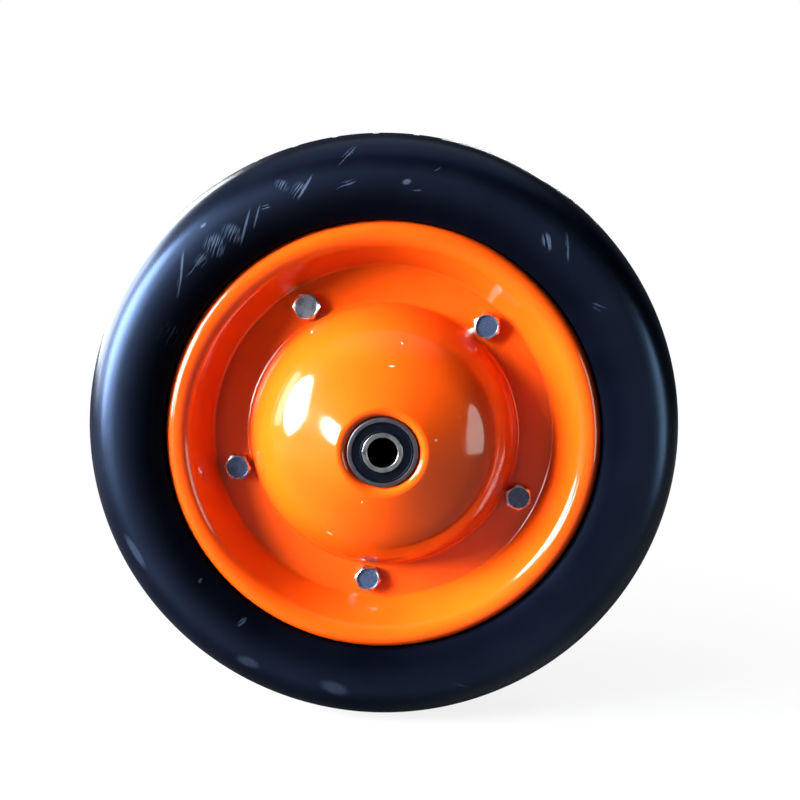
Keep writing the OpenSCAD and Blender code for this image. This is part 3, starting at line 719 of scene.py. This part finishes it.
# Bearings. Two sealed ball bearings, pressed into the hub from outside: turned and ground steel
# rings, moulded rubber seals, and balls in a riveted cage of pressed sheet.
def turn_to_back(mesh):
    """Turns a front piece round the upright axis, so that it faces the back."""
    bmesh.ops.rotate(mesh, verts=mesh.verts, cent=(0, 0, 0), matrix=Matrix.Rotation(pi, 3, "Z"))


turned, place, given, result = new_group("turning_lines", {"Pitch": 0.0002}, "Height")
deep = add_node(turned, "SeparateXYZ")
both = add_node(turned, "Math", operation="ADD")
per_line = add_node(turned, "Math", operation="DIVIDE")
ring_noise = set_inputs(add_node(turned, "TexNoise", noise_dimensions="1D"), Scale=1, Detail=3)
for start, end in ((place.outputs["Object"], deep.inputs[0]),
                   (place_group(turned, axle_distance), both.inputs[0]),
                   (deep.outputs["Y"], both.inputs[1]), (both.outputs[0], per_line.inputs[0]),
                   (given.outputs["Pitch"], per_line.inputs[1]),
                   (per_line.outputs[0], ring_noise.inputs["W"]),
                   (ring_noise.outputs["Fac"], result.inputs["Height"])):
    turned.links.new(start, end)


def turned_steel(name, colour, rough_low, rough_high, depth, bore=0.0):
    """Ground steel with fine lines that run round it, and painted shade inside the bore's radius: near-black,
    with no metal or gloss.
    """
    made = plain_finish(name, [c * 0.8 for c in colour], colour, size=0.006, rough_low=rough_low,
                        rough_high=rough_high, metallic=1.0, grain_size=0.0003, grain_depth=0.000005)
    own = made.node_tree
    surface = own.nodes["Principled BSDF"]
    grooves = set_inputs(add_node(own, "Bump"), Strength=0.5, Distance=depth)
    own.links.new(place_group(own, turned, Pitch=0.00012), grooves.inputs["Height"])
    own.links.new(surface.inputs["Normal"].links[0].from_socket, grooves.inputs["Normal"])
    own.links.new(grooves.outputs["Normal"], surface.inputs["Normal"])
    inside = add_node(own, "Math", operation="LESS_THAN")
    inside.inputs[1].default_value = bore
    outside = add_node(own, "Math", operation="GREATER_THAN")
    outside.inputs[1].default_value = bore
    bore_painted_shade = set_inputs(add_node(own, "Mix", data_type="RGBA"), B=(0.002, 0.002, 0.002, 1))
    for test in (inside, outside):
        own.links.new(place_group(own, axle_distance), test.inputs[0])
    own.links.new(outside.outputs[0], surface.inputs["Metallic"])
    own.links.new(outside.outputs[0], surface.inputs["Specular IOR Level"])
    own.links.new(inside.outputs[0], bore_painted_shade.inputs["Factor"])
    own.links.new(surface.inputs["Base Color"].links[0].from_socket, bore_painted_shade.inputs["A"])
    own.links.new(bore_painted_shade.outputs["Result"], surface.inputs["Base Color"])
    return made


ring_steel = turned_steel("dull_ring_steel", (0.15, 0.14, 0.165), rough_low=0.45, rough_high=0.55,
                          depth=0.00001)
# the inner ring's bore is painted near-black, as painted shade
bright_steel = turned_steel("bright_ring_steel", (0.80, 0.80, 0.82), rough_low=0.26, rough_high=0.36,
                            depth=0.000006, bore=0.00865)
ball_steel = plain_finish("ball_steel", (0.55, 0.55, 0.57), (0.62, 0.62, 0.64), size=0.003, rough_low=0.06,
                          rough_high=0.12, metallic=1.0, grain_size=0.0005, grain_depth=0.000002)
cage_steel = plain_finish("cage_steel", (0.38, 0.37, 0.35), (0.5, 0.49, 0.46), size=0.004, rough_low=0.3,
                          rough_high=0.42, metallic=1.0, grain_size=0.0004, grain_depth=0.00001)
seal_rubber = plain_finish("seal_rubber", (0.0012, 0.0016, 0.004), (0.0025, 0.003, 0.007), size=0.006,
                           rough_low=0.42, rough_high=0.55, metallic=0.0, grain_size=0.0004,
                           grain_depth=0.00002, Specular_IOR_Level=0.12, Specular_Tint=(0.7, 0.85, 1.0, 1))
hub_half, bearing_w = 46.0, 12.0
mid = hub_half - bearing_w / 2
# outlines of (radius, height, bend radius), the seal's as it lies on the bearing's outer side
outer_ring_line = (
    (20.0, mid, 0), (20.0, hub_half, 0.9), (17.4, hub_half, 0.15), (17.4, 45.35, 0), (17.75, 45.0, 0),
    (17.75, 44.5, 0), (16.05, 44.5, 0.1), (16.05, 41.8, 0), (17.2, 41.2, 0), (17.68, mid, 0),
    (17.2, 38.8, 0), (16.05, 38.2, 0), (16.05, 35.5, 0.1), (17.75, 35.5, 0), (17.75, 35.0, 0),
    (17.4, 34.65, 0), (17.4, 34.0, 0.15), (20.0, 34.0, 0.9), (20.0, mid, 0))
inner_ring_line = (
    (8.5, mid, 0), (8.5, 34.0, 0.5), (11.35, 34.0, 0.25), (11.35, 35.7, 0), (12.25, 36.0, 0),
    (12.25, 37.9, 0), (11.2, 38.7, 0), (10.84, mid, 0), (11.2, 41.3, 0), (12.25, 42.1, 0),
    (12.25, 44.0, 0), (11.35, 44.3, 0), (11.35, hub_half, 0.25), (8.5, hub_half, 0.5), (8.5, mid, 0))
seal_line = (
    (11.4, 45.1, 0), (11.4, 44.8, 0), (11.9, 44.5, 0), (15.45, 44.5, 0), (17.75, 44.5, 0), (17.75, 45.0, 0.1),
    (17.4, 45.35, 0), (17.05, 45.7, 0.15), (16.55, 45.68, 0.15), (16.15, 45.42, 0.3), (12.7, 45.42, 0.3),
    (12.3, 45.68, 0.15), (11.75, 45.7, 0.2), (11.4, 45.4, 0), (11.4, 45.1, 0))


def closed_outline(mesh, corners, step=6):
    """Draws an outline through corners of (radius, height, bend radius) and joins its two ends."""
    bent_line(mesh, corners, step)
    ends = [v for v in mesh.verts if len(v.link_edges) == 1]
    bmesh.ops.contextual_create(mesh, geom=ends)


for side in ("front", "back"):
    pieces = {}
    ring = bmesh.new()
    closed_outline(ring, outer_ring_line)
    pieces["outer_ring"] = (ring, ring_steel, "bearing_steel", "wheel")
    ring = bmesh.new()
    closed_outline(ring, inner_ring_line)
    pieces["inner_ring"] = (ring, bright_steel, "bearing_steel", "axle_group")
    for name, out_way in (("outer_seal", 1), ("inner_seal", -1)):
        seal = bmesh.new()
        closed_outline(seal, [(r, mid + out_way * (h - mid), b) for r, h, b in seal_line])
        pieces[name] = (seal, seal_rubber, "seal_rubber", "wheel")
    for name, (mesh, finish, slot, body) in pieces.items():
        lathe(mesh, 128)
        if side == "back":
            turn_to_back(mesh)
        finish_piece(f"{name}_{side}_turned", mesh, finish, body, [f"{name}_{side}"], 30)
    for name, finish, slot in (("balls", ball_steel, "bearing_steel"),
                               ("cage_outer_half", cage_steel, "cage_steel"),
                               ("cage_inner_half", cage_steel, "cage_steel"),
                               ("cage_rivets", cage_steel, "cage_steel")):
        copied = bmesh.new()
        copied.from_mesh(nodes[f"{name}_{side}"].data)
        bmesh.ops.remove_doubles(copied, verts=copied.verts, dist=1e-6)
        finish_piece(f"{name}_{side}_finished", copied, finish, f"{side}_ball_set",
                     [f"{name}_{side}"], 30)

# Spacer. A plain cut tube of steel between the two inner rings, which takes the clamping of the
# axle's nuts.
# the tube's inside is painted near-black, as painted shade
tube_steel = turned_steel("tube_steel", (0.42, 0.42, 0.43), rough_low=0.3, rough_high=0.42,
                          depth=0.00001, bore=0.0092)
tube_in, tube_out, tube_half, tube_edge = 8.75, 10.75, 34.0, 0.3
tube = bmesh.new()
closed_outline(tube, [(tube_in, 0, 0), (tube_in, tube_half, tube_edge), (tube_out, tube_half, tube_edge),
                      (tube_out, -tube_half, tube_edge), (tube_in, -tube_half, tube_edge), (tube_in, 0, 0)])
lathe(tube, 96)
finish_piece("axle_spacer_tube", tube, tube_steel, "axle_group", ["axle_spacer"], 30)
